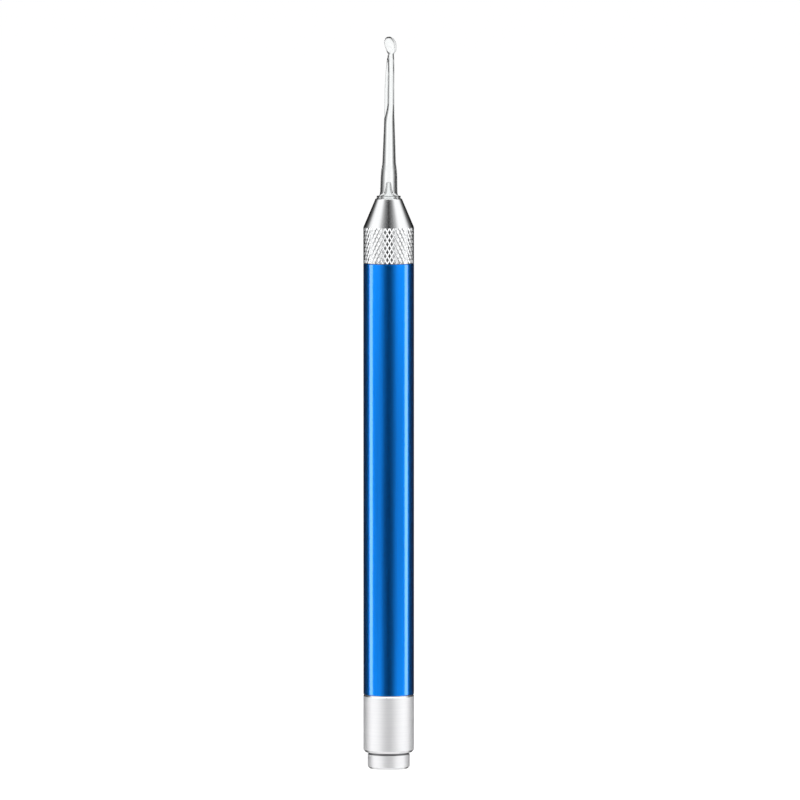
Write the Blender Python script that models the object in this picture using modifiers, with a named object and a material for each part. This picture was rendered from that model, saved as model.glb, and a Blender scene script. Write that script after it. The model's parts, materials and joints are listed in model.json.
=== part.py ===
# Lighted ear pick: a pen-shaped tube with a clear spoon tip that is lit from inside.
# Metres, +Z up. It stands on the flat end of its tail button, at the origin, with the spoon at the top.
# Every piece is turned about the Z axis, or placed from it. Most sizes grow outwards from the button cells.

from math import cos, hypot, pi, radians, sin

import bmesh
import bpy
from mathutils import Matrix, Vector

# Clearances
fit = 0.0001  # round a piece that sits still in a bore
slide_fit = 0.00015  # round a piece that slides in a bore
plug_fit = 0.000075  # round the tip's plug in its socket
ring_fit = 0.00003  # round a rubber ring
seam = 0.0001  # between the barrel and what screws into it
seat_gap = 0.00005  # between a piece and the face that it rests on
overrun = 0.001  # of a cutter past the wall that it cuts

# Cells, liner and barrel
cell_diameter = 0.0079
cell_height = 0.0036
cell_count = 3
cell_cap_diameter = 0.0058
cell_cap_height = 0.0002
cell_edge = 0.00015
liner_wall = 0.0002
barrel_wall = 0.00065
barrel_length = 0.0853
barrel_edge = 0.0001

# Screwed necks of the nose and the tail cap, without their threads
thread_room = 0.00027  # from the bore out to the wider mouth that clears the thread
mouth_depth = 0.00115
neck_length = 0.0047
neck_edge = 0.0002
groove_width = 0.0008
ring_thickness = 0.00066
groove_wall = 0.0006

# Nose
knurl_length = 0.0070
knurl_land = 0.00015
knurl_depth = 0.00018
knurl_count = 38  # diamonds around
knurl_rows = 8  # half diamonds along
cone_length = 0.00565
cone_wall = 0.00055  # round the socket, at the top
cone_edge = 0.00012

# Lamp, its holder and its contact
lamp_diameter = 0.0030
lamp_height = 0.0053
lamp_rim = 0.0004  # how far the foot's rim stands out
lamp_rim_height = 0.0010
lead_thickness = 0.00045
lead_spacing = 0.00254
lead_bend = 0.0004
lead_turn_height = 0.0018  # of the bent lead above the holder's lower end
holder_recess = 0.0010
holder_lip = 0.0005
front_contact_stand = 0.0001  # how far it stands out of the holder

# Spoon tip
plug_wall = 0.000375
plug_length = 0.00555
flange_overlap = 0.000325
flange_thickness = 0.0005
shank_diameter = 0.0035
shank_length = 0.02805
shank_lean = 0.00045  # sideways drift of the shank, from its foot to the spoon
shank_root = 0.0003  # how far the shank starts inside the flange
spoon_half_width = 0.00136
spoon_half_length = 0.00175
spoon_back_depth = 0.0008
spoon_rim = 0.00025
spoon_bowl_depth = 0.0006
spoon_bowl_lift = 0.00004  # of the bowl's middle before the open face
spoon_sideways = 0.00033  # the middle of its rim, from the pen's axis
spoon_forward = 0.0008
spoon_turn = radians(-38)
spoon_lean = radians(17)
light_throat_radius = 0.00082
light_throat_height = 0.00085
light_point_radius = 0.0004
light_point_height = 0.00295
light_point_round = 0.0002
lamp_headroom = 0.0002

# Spacer, rod and battery spring
rod_diameter = 0.0020
rod_top_head_radius = 0.0020
rod_foot_radius = 0.0026
rod_head_thickness = 0.0008
spring_bay_length = 0.0144
battery_wire = 0.0005
battery_turns = 9

# Tail cap and push button
cap_length = 0.0114
cap_edge = 0.0001
cap_end_chamfer = 0.0004
cap_end_chamfer_height = 0.0005
chamber_wall = 0.00075
web_thickness = 0.0006
button_proud = 0.00325
button_height = 0.0065
button_travel = 0.0012
button_stop_gap = 0.0003
button_chamfer = 0.0004
button_top_edge = 0.00015
button_end_thickness = 0.0012
button_wall = 0.00075
button_boss_wall = 0.00065
button_boss_setback = 0.0010
stem_seat = 0.0003  # from the button's inner floor up to the foot of the stem's hole

# Switch
stem_diameter = 0.0030
stem_flange_thickness = 0.0007
post_diameter = 0.0024
post_length = 0.0022
housing_wall = 0.0005
housing_floor = 0.0007
contact_thickness = 0.00035
return_wire = 0.0003
return_turns = 4
cover_thickness = 0.0008
rivet_radius = 0.0006
rivet_tip_radius = 0.0010
rivet_tip_thickness = 0.00025
rivet_head_radius = 0.0022
rivet_head_thickness = 0.0004

# How finely round things are made
wide_steps = 40
middle_steps = 32
small_steps = 24
ring_steps = 36
ring_section_steps = 6
shank_resolution = 5
wire_resolution = 1
coil_points = 10  # in one turn
weld_distance = 0.000001
sharp_angle = radians(35)

# Radii, from the cells outwards
cell_radius = cell_diameter / 2
liner_bore_radius = cell_radius + fit
liner_radius = liner_bore_radius + liner_wall
bore_radius = liner_radius + fit
barrel_radius = bore_radius + barrel_wall
mouth_radius = bore_radius + thread_room
neck_radius = bore_radius - fit
ring_radius = mouth_radius - ring_fit - ring_thickness / 2
groove_radius = ring_radius - ring_thickness / 2 - ring_fit
inner_bore_radius = groove_radius - groove_wall
inner_fit_radius = inner_bore_radius - fit
lamp_radius = lamp_diameter / 2
plug_bore_radius = lamp_radius + fit
plug_radius = plug_bore_radius + plug_wall
socket_radius = plug_radius + plug_fit
flange_radius = socket_radius + flange_overlap
cone_top_radius = socket_radius + cone_wall
chamber_radius = barrel_radius - chamber_wall
button_radius = chamber_radius - fit
stem_radius = stem_diameter / 2
stem_hole_radius = stem_radius + slide_fit
housing_bore_radius = inner_fit_radius - housing_wall
post_radius = post_diameter / 2

# Heights above the floor
cap_end = button_proud
cap_shoulder = cap_end + cap_length
barrel_foot = cap_shoulder + seam
barrel_top = barrel_foot + barrel_length
nose_shoulder = barrel_top + seam
nose_length = knurl_length + cone_length
nose_top = nose_shoulder + nose_length
tip_seat = nose_top + seat_gap
socket_depth = plug_length + lamp_rim_height
lamp_foot = nose_top - socket_depth
holder_top = lamp_foot - seat_gap
holder_foot = nose_shoulder - neck_length
front_contact_foot = holder_foot - front_contact_stand
cell_stack_top = front_contact_foot - seat_gap
cell_stack_foot = cell_stack_top - cell_count * (cell_height + seat_gap)
web_foot = button_height + button_travel + button_stop_gap
housing_foot = web_foot + web_thickness + seat_gap
stem_flange_foot = housing_foot + housing_floor + seat_gap
stem_flange_top = stem_flange_foot + stem_flange_thickness
post_top = stem_flange_top + post_length
moving_contact_foot = post_top + seat_gap
rivet_tip = moving_contact_foot + contact_thickness + button_travel + seat_gap
cover_foot = rivet_tip + rivet_tip_thickness + seat_gap
cover_top = cover_foot + cover_thickness
rivet_top = cover_top + seat_gap + rivet_head_thickness
battery_spring_foot = rivet_top + seat_gap
battery_spring_top = battery_spring_foot + spring_bay_length
rod_foot = battery_spring_top + seat_gap


def clear_scene():
    for old in list(bpy.data.objects):
        bpy.data.objects.remove(old, do_unlink=True)


def new_collection(name):
    made = bpy.data.collections.new(name)
    bpy.context.scene.collection.children.link(made)
    return made


def new_material(name, colour, roughness, metallic=0.0, clear=0.0):
    made = bpy.data.materials.new(name)
    made.use_nodes = True
    shader = made.node_tree.nodes["Principled BSDF"]
    shader.inputs["Base Color"].default_value = (*colour, 1.0)
    shader.inputs["Roughness"].default_value = roughness
    shader.inputs["Metallic"].default_value = metallic
    shader.inputs["Transmission Weight"].default_value = clear
    made.diffuse_color = (*colour, 1.0)
    return made


clear_scene()
parts = new_collection("lighted_ear_pick")
cutters = new_collection("ear_pick_cutters")


def new_group(name, height, parent=None):
    """An empty on the axis. A moving group stands where its joint is."""
    made = bpy.data.objects.new(name, None)
    made.empty_display_size = barrel_radius
    made.location.z = height - (parent.matrix_world.translation.z if parent else 0)
    made.parent = parent
    parts.objects.link(made)
    bpy.context.view_layer.update()
    return made


def place(made, group, material):
    """Puts a finished piece in its group, and shifts it from its world height to the group's."""
    height = group.matrix_world.translation.z
    made.data.transform(Matrix.Translation((0, 0, -height)))
    made.parent = group
    made.data.materials.clear()
    made.data.materials.append(material)
    parts.objects.link(made)
    return made


def baked(source):
    """A plain mesh object in place of one whose shape comes from a curve or a modifier."""
    name = source.name
    bpy.context.scene.collection.objects.link(source)
    graph = bpy.context.evaluated_depsgraph_get()
    mesh = bpy.data.meshes.new_from_object(source.evaluated_get(graph))
    bpy.data.objects.remove(source)
    solid = bmesh.new()
    solid.from_mesh(mesh)
    bmesh.ops.remove_doubles(solid, verts=solid.verts, dist=weld_distance)
    solid.to_mesh(mesh)
    solid.free()
    return bpy.data.objects.new(name, mesh)


def shade(made):
    made.data.shade_smooth()
    made.data.set_sharp_from_angle(angle=sharp_angle)
    return made


def turned(name, outline, steps):
    """A solid turned about Z. The outline lists (radius, height) down the outer side.

    An outline that starts on the axis ends there too, and any other one closes on itself."""
    count = len(outline)
    edges = [(i, i + 1) for i in range(count - 1)]
    if outline[0][0] > 0:
        edges.append((count - 1, 0))
    profile = bpy.data.meshes.new(name)
    profile.from_pydata([(radius, 0, height) for radius, height in outline], edges, [])
    made = bpy.data.objects.new(name, profile)
    turn = made.modifiers.new("Turn", "SCREW")
    turn.steps = turn.render_steps = steps
    turn.use_merge_vertices = True
    turn.merge_threshold = weld_distance
    return shade(baked(made))


def wire(name, points, thickness, resolution, radii=None):
    """A round wire along a list of points, as a curve with closed ends."""
    path = bpy.data.curves.new(name, "CURVE")
    path.dimensions = "3D"
    path.bevel_depth = thickness / 2
    path.bevel_resolution = resolution
    path.use_fill_caps = True
    spline = path.splines.new("POLY")
    spline.points.add(len(points) - 1)
    for i, point in enumerate(points):
        spline.points[i].co = (*point, 1)
        spline.points[i].radius = radii[i] if radii else 1
    return bpy.data.objects.new(name, path)


def coil(name, mean_radius, thickness, foot, top, turns):
    """A coil spring as one unbroken wire. It prints the least gap between its own turns."""
    count = turns * coil_points
    rise = top - foot - thickness
    points = []
    for i in range(count + 1):
        angle = 2 * pi * i / coil_points
        height = foot + thickness / 2 + rise * i / count
        points.append(Vector((mean_radius * cos(angle), mean_radius * sin(angle), height)))
    apart = coil_points // 2
    pairs = ((i, j) for i in range(count) for j in range(i + apart, count + 1))
    gap = min((points[j] - points[i]).length for i, j in pairs)
    print(f"{name}: least gap between turns {1000 * (gap - thickness):.2f} mm")
    return wire(name, points, thickness, wire_resolution)


def helper(made):
    """Marks an object that only cuts or joins another."""
    made.hide_render = True
    made.display_type = "WIRE"
    if made.name not in cutters.objects:
        cutters.objects.link(made)
    return made


def combine(target, tool, operation, label):
    change = target.modifiers.new(label, "BOOLEAN")
    change.operation = operation
    change.solver = "EXACT"
    change.object = helper(tool)


def ellipsoid(name, half_width, half_depth, half_length, matrix):
    mesh = bpy.data.meshes.new(name)
    ball = bmesh.new()
    bmesh.ops.create_uvsphere(ball, u_segments=small_steps, v_segments=small_steps // 2, radius=1)
    bmesh.ops.scale(ball, verts=ball.verts, vec=(half_width, half_depth, half_length))
    bmesh.ops.transform(ball, matrix=matrix, verts=ball.verts)
    ball.to_mesh(mesh)
    ball.free()
    return shade(bpy.data.objects.new(name, mesh))


def block(name, low, high, matrix):
    mesh = bpy.data.meshes.new(name)
    box = bmesh.new()
    size = Vector(high) - Vector(low)
    middle = (Vector(high) + Vector(low)) / 2
    bmesh.ops.create_cube(box, size=1)
    bmesh.ops.scale(box, verts=box.verts, vec=size)
    bmesh.ops.translate(box, verts=box.verts, vec=middle)
    bmesh.ops.transform(box, matrix=matrix, verts=box.verts)
    box.to_mesh(mesh)
    box.free()
    return bpy.data.objects.new(name, mesh)


anodised_blue = new_material("blue anodised aluminium", (0.0, 0.22, 0.8), 0.3, metallic=1.0)
polished = new_material("polished aluminium", (0.78, 0.78, 0.79), 0.2, metallic=1.0)
satin = new_material("satin aluminium", (0.76, 0.76, 0.77), 0.35, metallic=1.0)
clear_acrylic = new_material("clear acrylic", (0.96, 0.98, 1.0), 0.03, clear=1.0)
lamp_resin = new_material("clear lamp resin", (0.93, 0.95, 1.0), 0.05, clear=1.0)
tinned = new_material("tinned steel lead", (0.7, 0.7, 0.7), 0.3, metallic=1.0)
white_nylon = new_material("white nylon", (0.85, 0.85, 0.82), 0.5)
black_nylon = new_material("black nylon", (0.03, 0.03, 0.03), 0.5)
liner_film = new_material("polyester liner", (0.75, 0.77, 0.75), 0.4)
brass = new_material("brass", (0.8, 0.6, 0.25), 0.3, metallic=1.0)
rubber = new_material("black rubber", (0.02, 0.02, 0.02), 0.7)
nickel = new_material("nickel-plated steel", (0.7, 0.69, 0.66), 0.25, metallic=1.0)
spring_steel = new_material("spring steel", (0.6, 0.6, 0.6), 0.3, metallic=1.0)

# One group for each rigid body, with its origin on its joint's axis
barrel_group = new_group("barrel_group", barrel_foot)
nose_ring_group = new_group("nose_ring_group", nose_shoulder, barrel_group)
nose_group = new_group("nose_group", nose_shoulder, nose_ring_group)
tip_group = new_group("tip_group", tip_seat, nose_group)
tail_ring_group = new_group("tail_ring_group", cap_shoulder, barrel_group)
tail_group = new_group("tail_group", cap_shoulder, tail_ring_group)
button_group = new_group("button_group", 0, tail_group)


def make_barrel():
    inner_foot = barrel_foot + mouth_depth
    inner_top = barrel_top - mouth_depth
    tube = turned("barrel_tube", [
        (barrel_radius - barrel_edge, barrel_top),
        (barrel_radius, barrel_top - barrel_edge),
        (barrel_radius, barrel_foot + barrel_edge),
        (barrel_radius - barrel_edge, barrel_foot),
        (mouth_radius, barrel_foot),
        (mouth_radius, inner_foot),
        (bore_radius, inner_foot),
        (bore_radius, inner_top),
        (mouth_radius, inner_top),
        (mouth_radius, barrel_top),
    ], wide_steps)
    place(tube, barrel_group, anodised_blue)

    liner_foot = cap_shoulder + neck_length + fit
    liner_top = nose_shoulder - neck_length - fit
    liner = turned("liner_tube", [
        (liner_radius, liner_top),
        (liner_radius, liner_foot),
        (liner_bore_radius, liner_foot),
        (liner_bore_radius, liner_top),
    ], middle_steps)
    place(liner, barrel_group, liner_film)


def make_cells():
    """Three button cells, each with its can up and its smaller cap down."""
    cap_radius = cell_cap_diameter / 2
    for i in range(cell_count):
        top = cell_stack_top - i * (cell_height + seat_gap)
        foot = top - cell_height
        can_foot = foot + cell_cap_height
        cell = turned(f"button_cell_{i + 1}", [
            (0, top),
            (cell_radius - cell_edge, top),
            (cell_radius, top - cell_edge),
            (cell_radius, can_foot + cell_edge),
            (cell_radius - cell_edge, can_foot),
            (cap_radius, can_foot),
            (cap_radius, foot),
            (0, foot),
        ], middle_steps)
        place(cell, barrel_group, nickel)


def make_rod_and_spacer():
    rod_radius = rod_diameter / 2
    rod_top = cell_stack_foot
    head_foot = rod_top - rod_head_thickness
    foot_top = rod_foot + rod_head_thickness
    rod = turned("contact_rod", [
        (0, rod_top),
        (rod_top_head_radius, rod_top),
        (rod_top_head_radius, head_foot),
        (rod_radius, head_foot),
        (rod_radius, foot_top),
        (rod_foot_radius, foot_top),
        (rod_foot_radius, rod_foot),
        (0, rod_foot),
    ], small_steps)
    place(rod, barrel_group, brass)

    sleeve_radius = liner_bore_radius - fit
    sleeve = turned("spacer_sleeve", [
        (sleeve_radius, head_foot - seat_gap),
        (sleeve_radius, foot_top + seat_gap),
        (rod_radius + fit, foot_top + seat_gap),
        (rod_radius + fit, head_foot - seat_gap),
    ], middle_steps)
    place(sleeve, barrel_group, white_nylon)


def make_seal_ring(name, shoulder, side, group):
    """A rubber ring in the groove between a shoulder and its neck. side is 1 where the neck points up."""
    middle = shoulder + side * groove_width / 2
    thick = ring_thickness / 2
    outline = []
    for i in range(ring_section_steps):
        angle = pi / 2 - 2 * pi * i / ring_section_steps
        outline.append((ring_radius + thick * cos(angle), middle + thick * sin(angle)))
    place(turned(name, outline, ring_steps), group, rubber)


def cut_knurl(nose, row_heights):
    """Presses a diamond knurl into the nose's band, whose outline has points at each half diamond."""
    crest_radius = barrel_radius
    root_radius = barrel_radius - knurl_depth
    outer_side = (barrel_radius + neck_radius) / 2
    near = knurl_land / 2
    shape = bmesh.new()
    shape.from_mesh(nose.data)

    def row_of(vert):
        if hypot(vert.co.x, vert.co.y) < outer_side:
            return None
        rows = (j for j, height in enumerate(row_heights) if abs(vert.co.z - height) < near)
        return next(rows, None)

    along = [edge for edge in shape.edges if None not in map(row_of, edge.verts)]
    around = [edge for edge in along if row_of(edge.verts[0]) == row_of(edge.verts[1])]
    bmesh.ops.subdivide_edges(shape, edges=around, cuts=1, use_grid_fill=True)

    half_diamond = pi / knurl_count
    low = set()
    banded = set()
    for vert in shape.verts:
        row = row_of(vert)
        if row is None:
            continue
        column = round(Vector((1, 0)).angle_signed(vert.co.xy) / -half_diamond)
        angle = column * half_diamond
        at_end = row in (0, knurl_rows)
        odd = (column + row) % 2
        radius = root_radius if odd or at_end else crest_radius
        vert.co.x, vert.co.y = radius * cos(angle), radius * sin(angle)
        banded.add(vert)
        if odd:
            low.add(vert)
    for face in [f for f in shape.faces if len(f.verts) == 4 and banded.issuperset(f.verts)]:
        ends = [vert for vert in face.verts if vert in low]
        bmesh.utils.face_split(face, *ends)
    shape.to_mesh(nose.data)
    shape.free()
    nose.data.set_sharp_from_angle(angle=sharp_angle)


def make_nose():
    knurl_foot = nose_shoulder + knurl_land
    row_height = (knurl_length - 2 * knurl_land) / knurl_rows
    row_heights = [knurl_foot + j * row_height for j in range(knurl_rows + 1)]
    land_radius = barrel_radius - knurl_depth
    knurl_top = nose_shoulder + knurl_length
    neck_foot = nose_shoulder - neck_length
    groove_foot = nose_shoulder - groove_width
    nose = turned("nose_cone", [
        (cone_top_radius - cone_edge, nose_top),
        (cone_top_radius, nose_top - cone_edge),
        (barrel_radius, knurl_top),
        *[(barrel_radius, height) for height in reversed(row_heights)],
        (land_radius, nose_shoulder),
        (groove_radius, nose_shoulder),
        (groove_radius, groove_foot),
        (neck_radius, groove_foot),
        (neck_radius, neck_foot + neck_edge),
        (neck_radius - neck_edge, neck_foot),
        (inner_bore_radius, neck_foot),
        (inner_bore_radius, lamp_foot),
        (socket_radius, lamp_foot),
        (socket_radius, nose_top),
    ], knurl_count)
    cut_knurl(nose, row_heights)
    place(nose, nose_group, polished)
    make_seal_ring("nose_seal_ring", nose_shoulder, -1, nose_ring_group)


def make_lamp():
    """A round-topped lamp, its two leads, the holder under it and the contact under that."""
    rim_radius = lamp_radius + lamp_rim
    rim_top = lamp_foot + lamp_rim_height
    dome_foot = lamp_foot + lamp_height - lamp_radius
    dome_steps = small_steps // 4
    dome = []
    for i in range(dome_steps):
        angle = pi / 2 * (1 - i / dome_steps)
        dome.append((lamp_radius * cos(angle) if i else 0, dome_foot + lamp_radius * sin(angle)))
    lens = turned("led_lens", [
        *dome,
        (lamp_radius, dome_foot),
        (lamp_radius, rim_top),
        (rim_radius, rim_top),
        (rim_radius, lamp_foot),
        (0, lamp_foot),
    ], small_steps)
    place(lens, nose_group, lamp_resin)

    recess_top = holder_foot + holder_recess
    recess_radius = inner_fit_radius - holder_lip
    lead_x = lead_spacing / 2
    lead_top = lamp_foot - seat_gap
    anode = wire("led_anode_lead", [
        (lead_x, 0, lead_top),
        (lead_x, 0, recess_top),
    ], lead_thickness, wire_resolution)
    place(anode, nose_group, tinned)

    turn_height = recess_top + lead_turn_height
    wall_x = inner_bore_radius - fit - lead_thickness / 2
    cathode = wire("led_cathode_lead", [
        (-lead_x, 0, lead_top),
        (-lead_x, 0, turn_height + lead_bend),
        (-lead_x - lead_bend, 0, turn_height),
        (-wall_x, 0, turn_height),
    ], lead_thickness, wire_resolution)
    place(cathode, nose_group, tinned)

    holder = turned("led_holder", [
        (0, holder_top),
        (inner_fit_radius, holder_top),
        (inner_fit_radius, holder_foot),
        (recess_radius, holder_foot),
        (recess_radius, recess_top),
        (0, recess_top),
    ], middle_steps)
    place(holder, nose_group, white_nylon)
    hole_radius = lead_thickness / 2 + fit
    for side, name in ((1, "anode_hole"), (-1, "cathode_hole")):
        hole = turned(name, [
            (0, holder_top + overrun),
            (hole_radius, holder_top + overrun),
            (hole_radius, holder_foot),
            (0, holder_foot),
        ], small_steps)
        hole.data.transform(Matrix.Translation((side * lead_x, 0, 0)))
        combine(holder, hole, "DIFFERENCE", name)
    slot = block(
        "cathode_slot",
        (-inner_fit_radius - overrun, -hole_radius, recess_top - hole_radius),
        (-lead_x, hole_radius, turn_height + lead_bend + hole_radius),
        Matrix.Identity(4),
    )
    combine(holder, slot, "DIFFERENCE", "cathode_slot")

    contact_radius = recess_radius - fit
    contact = turned("front_contact", [
        (0, recess_top - seat_gap),
        (contact_radius, recess_top - seat_gap),
        (contact_radius, front_contact_foot),
        (0, front_contact_foot),
    ], small_steps)
    place(contact, nose_group, brass)


def make_tip():
    """The clear tip: a plug and a flange, a tapering shank that leans a little, and a shallow spoon."""
    flange_top = tip_seat + flange_thickness
    plug_foot = tip_seat - plug_length
    tip = turned("ear_spoon_tip", [
        (0, flange_top),
        (flange_radius, flange_top),
        (flange_radius, tip_seat),
        (plug_radius, tip_seat),
        (plug_radius, plug_foot),
        (0, plug_foot),
    ], middle_steps)

    # Height, thickness, sideways drift and forward drift along the shank, as shares of its length, of its
    # foot's thickness, of its lean and of how far forward the spoon stands
    shank_shares = [
        (0.0, 1.0, 0.0, 0.0),
        (0.112, 0.943, 0.1, 0.0),
        (0.148, 0.937, 0.13, 0.0),
        (0.180, 0.877, 0.16, 0.0),
        (0.216, 0.771, 0.18, 0.0),
        (0.323, 0.714, 0.22, 0.0),
        (0.430, 0.646, 0.26, 0.0),
        (0.586, 0.557, 0.3, 0.0),
        (0.747, 0.534, 0.36, 0.0),
        (0.880, 0.480, 0.6, 0.02),
        (0.957, 0.434, 0.85, 0.08),
        (1.0, 0.330, 1.0, 0.2),
    ]
    points = [(0, 0, flange_top - shank_root)]
    radii = [1]
    for height_share, thickness_share, lean_share, forward_share in shank_shares:
        height = flange_top + shank_length * height_share
        points.append((shank_lean * lean_share, -spoon_forward * forward_share, height))
        radii.append(thickness_share)
    spoon_height = flange_top + shank_length + spoon_half_length * cos(spoon_lean)
    spoon_frame = (
        Matrix.Translation((spoon_sideways, -spoon_forward, spoon_height))
        @ Matrix.Rotation(spoon_turn, 4, "Z")
        @ Matrix.Rotation(spoon_lean, 4, "X")
    )
    # The shank runs on up the back of the spoon: its share of the spoon's depth and height, and its thickness
    back_shares = [(0.5, -0.7, 0.22), (0.55, -0.35, 0.12)]
    for depth_share, height_share, thickness_share in back_shares:
        behind = Vector((0, spoon_back_depth * depth_share, spoon_half_length * height_share))
        points.append(spoon_frame @ behind)
        radii.append(thickness_share)
    shank = shade(baked(wire("shank", points, shank_diameter, shank_resolution, radii)))
    combine(tip, shank, "UNION", "shank")

    spoon = ellipsoid("spoon", spoon_half_width, spoon_back_depth, spoon_half_length, spoon_frame)
    reach = spoon_half_length + overrun
    front = block("spoon_front", (-reach, -reach, -reach), (reach, 0, reach), spoon_frame)
    combine(spoon, front, "DIFFERENCE", "open face")
    combine(tip, spoon, "UNION", "spoon")
    bowl_width = spoon_half_width - spoon_rim
    bowl_length = spoon_half_length - spoon_rim
    bowl_frame = spoon_frame @ Matrix.Translation((0, -spoon_bowl_lift, 0))
    bowl = ellipsoid("spoon_bowl", bowl_width, spoon_bowl_depth, bowl_length, bowl_frame)
    combine(tip, bowl, "DIFFERENCE", "bowl")

    lamp_top = lamp_foot + lamp_height
    point_height = tip_seat + light_point_height
    cavity = turned("light_cavity", [
        (0, point_height + light_point_round),
        (light_point_radius, point_height),
        (light_throat_radius, tip_seat + light_throat_height),
        (plug_bore_radius, lamp_top + lamp_headroom),
        (plug_bore_radius, plug_foot - overrun),
        (0, plug_foot - overrun),
    ], small_steps)
    combine(tip, cavity, "DIFFERENCE", "light cavity")
    place(tip, tip_group, clear_acrylic)
    for tool in (shank, spoon, front, bowl, cavity):
        tool.data.transform(Matrix.Translation((0, 0, -tip_seat)))
        tool.parent = tip_group


def make_tail_cap():
    neck_top = cap_shoulder + neck_length
    groove_top = cap_shoulder + groove_width
    web_top = web_foot + web_thickness
    cap = turned("tail_cap", [
        (neck_radius - neck_edge, neck_top),
        (neck_radius, neck_top - neck_edge),
        (neck_radius, groove_top),
        (groove_radius, groove_top),
        (groove_radius, cap_shoulder),
        (barrel_radius - cap_edge, cap_shoulder),
        (barrel_radius, cap_shoulder - cap_edge),
        (barrel_radius, cap_end + cap_end_chamfer_height),
        (barrel_radius - cap_end_chamfer, cap_end),
        (chamber_radius, cap_end),
        (chamber_radius, web_foot),
        (stem_hole_radius, web_foot),
        (stem_hole_radius, web_top),
        (inner_bore_radius, web_top),
        (inner_bore_radius, neck_top),
    ], wide_steps)
    place(cap, tail_group, satin)
    make_seal_ring("tail_seal_ring", cap_shoulder, 1, tail_ring_group)


def make_button():
    """The push button: a cup with a boss inside, pressed on the stem of the switch."""
    hollow_radius = button_radius - button_wall
    boss_bore_radius = stem_radius + seat_gap
    boss_radius = boss_bore_radius + button_boss_wall
    boss_top = button_height - button_boss_setback
    stem_hole_foot = button_end_thickness + stem_seat
    button = turned("tail_button", [
        (0, stem_hole_foot),
        (boss_bore_radius, stem_hole_foot),
        (boss_bore_radius, boss_top),
        (boss_radius, boss_top),
        (boss_radius, button_end_thickness),
        (hollow_radius, button_end_thickness),
        (hollow_radius, button_height),
        (button_radius - button_top_edge, button_height),
        (button_radius, button_height - button_top_edge),
        (button_radius, button_chamfer),
        (button_radius - button_chamfer, 0),
        (0, 0),
    ], wide_steps)
    place(button, button_group, satin)

    flange_radius_here = housing_bore_radius - slide_fit
    plunger = turned("switch_plunger", [
        (0, post_top),
        (post_radius, post_top),
        (post_radius, stem_flange_top),
        (flange_radius_here, stem_flange_top),
        (flange_radius_here, stem_flange_foot),
        (stem_radius, stem_flange_foot),
        (stem_radius, stem_hole_foot + seat_gap),
        (0, stem_hole_foot + seat_gap),
    ], small_steps)
    place(plunger, button_group, black_nylon)

    moving_contact = turned("moving_contact", [
        (0, moving_contact_foot + contact_thickness),
        (post_radius, moving_contact_foot + contact_thickness),
        (post_radius, moving_contact_foot),
        (0, moving_contact_foot),
    ], small_steps)
    place(moving_contact, button_group, brass)


def make_switch():
    """The fixed half of the switch, pressed into the tail cap, with the return and battery springs."""
    housing_top = cover_foot - seat_gap
    floor_top = housing_foot + housing_floor
    housing = turned("switch_housing", [
        (inner_fit_radius, housing_top),
        (inner_fit_radius, housing_foot),
        (stem_hole_radius, housing_foot),
        (stem_hole_radius, floor_top),
        (housing_bore_radius, floor_top),
        (housing_bore_radius, housing_top),
    ], middle_steps)
    place(housing, tail_group, black_nylon)

    hole_radius = rivet_radius + seat_gap
    cover = turned("switch_cover", [
        (inner_fit_radius, cover_top),
        (inner_fit_radius, cover_foot),
        (hole_radius, cover_foot),
        (hole_radius, cover_top),
    ], middle_steps)
    place(cover, tail_group, white_nylon)

    head_foot = cover_top + seat_gap
    tip_top = rivet_tip + rivet_tip_thickness
    rivet = turned("centre_contact", [
        (0, rivet_top),
        (rivet_head_radius, rivet_top),
        (rivet_head_radius, head_foot),
        (rivet_radius, head_foot),
        (rivet_radius, tip_top),
        (rivet_tip_radius, tip_top),
        (rivet_tip_radius, rivet_tip),
        (0, rivet_tip),
    ], small_steps)
    place(rivet, tail_group, brass)

    return_radius = (post_radius + housing_bore_radius) / 2
    return_foot = stem_flange_top + seat_gap
    return_top = cover_foot - seat_gap
    return_spring = coil("return_spring", return_radius, return_wire, return_foot, return_top, return_turns)
    place(return_spring, tail_group, spring_steel)

    battery_radius = rivet_head_radius + fit
    battery_spring = coil(
        "battery_spring",
        battery_radius,
        battery_wire,
        battery_spring_foot,
        battery_spring_top,
        battery_turns,
    )
    place(battery_spring, tail_group, spring_steel)


make_barrel()
make_cells()
make_rod_and_spacer()
make_nose()
make_lamp()
make_tip()
make_tail_cap()
make_button()
make_switch()
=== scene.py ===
# Lighted ear pick: a pen-shaped tube with a clear spoon tip, standing on its tail button.
# Sizes in the dictionaries are millimetres; heights start at the flat end of the button, as in the CAD frame.
import json
from math import asin, ceil, cos, pi, radians, sin, tan

import bmesh
import bpy
import numpy as np
from mathutils import Matrix, Quaternion, Vector


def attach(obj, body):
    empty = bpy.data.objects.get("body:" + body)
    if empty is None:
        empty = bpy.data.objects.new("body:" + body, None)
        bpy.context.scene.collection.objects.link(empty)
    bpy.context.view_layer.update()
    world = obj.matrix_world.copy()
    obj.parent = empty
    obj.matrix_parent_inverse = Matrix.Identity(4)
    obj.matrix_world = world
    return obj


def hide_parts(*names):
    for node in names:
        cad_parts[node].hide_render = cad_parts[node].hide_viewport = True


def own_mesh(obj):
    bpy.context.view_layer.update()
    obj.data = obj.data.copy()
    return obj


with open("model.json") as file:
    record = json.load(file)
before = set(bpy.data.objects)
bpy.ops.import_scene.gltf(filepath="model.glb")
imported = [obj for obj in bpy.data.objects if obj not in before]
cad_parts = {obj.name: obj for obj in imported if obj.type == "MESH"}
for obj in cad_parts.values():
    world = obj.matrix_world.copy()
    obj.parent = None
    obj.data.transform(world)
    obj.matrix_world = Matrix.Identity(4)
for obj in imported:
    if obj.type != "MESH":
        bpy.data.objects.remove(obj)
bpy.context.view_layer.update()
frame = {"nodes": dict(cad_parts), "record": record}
scene = bpy.context.scene
mm = 0.001
print("frame loaded:", len(frame["nodes"]), "nodes")


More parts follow.
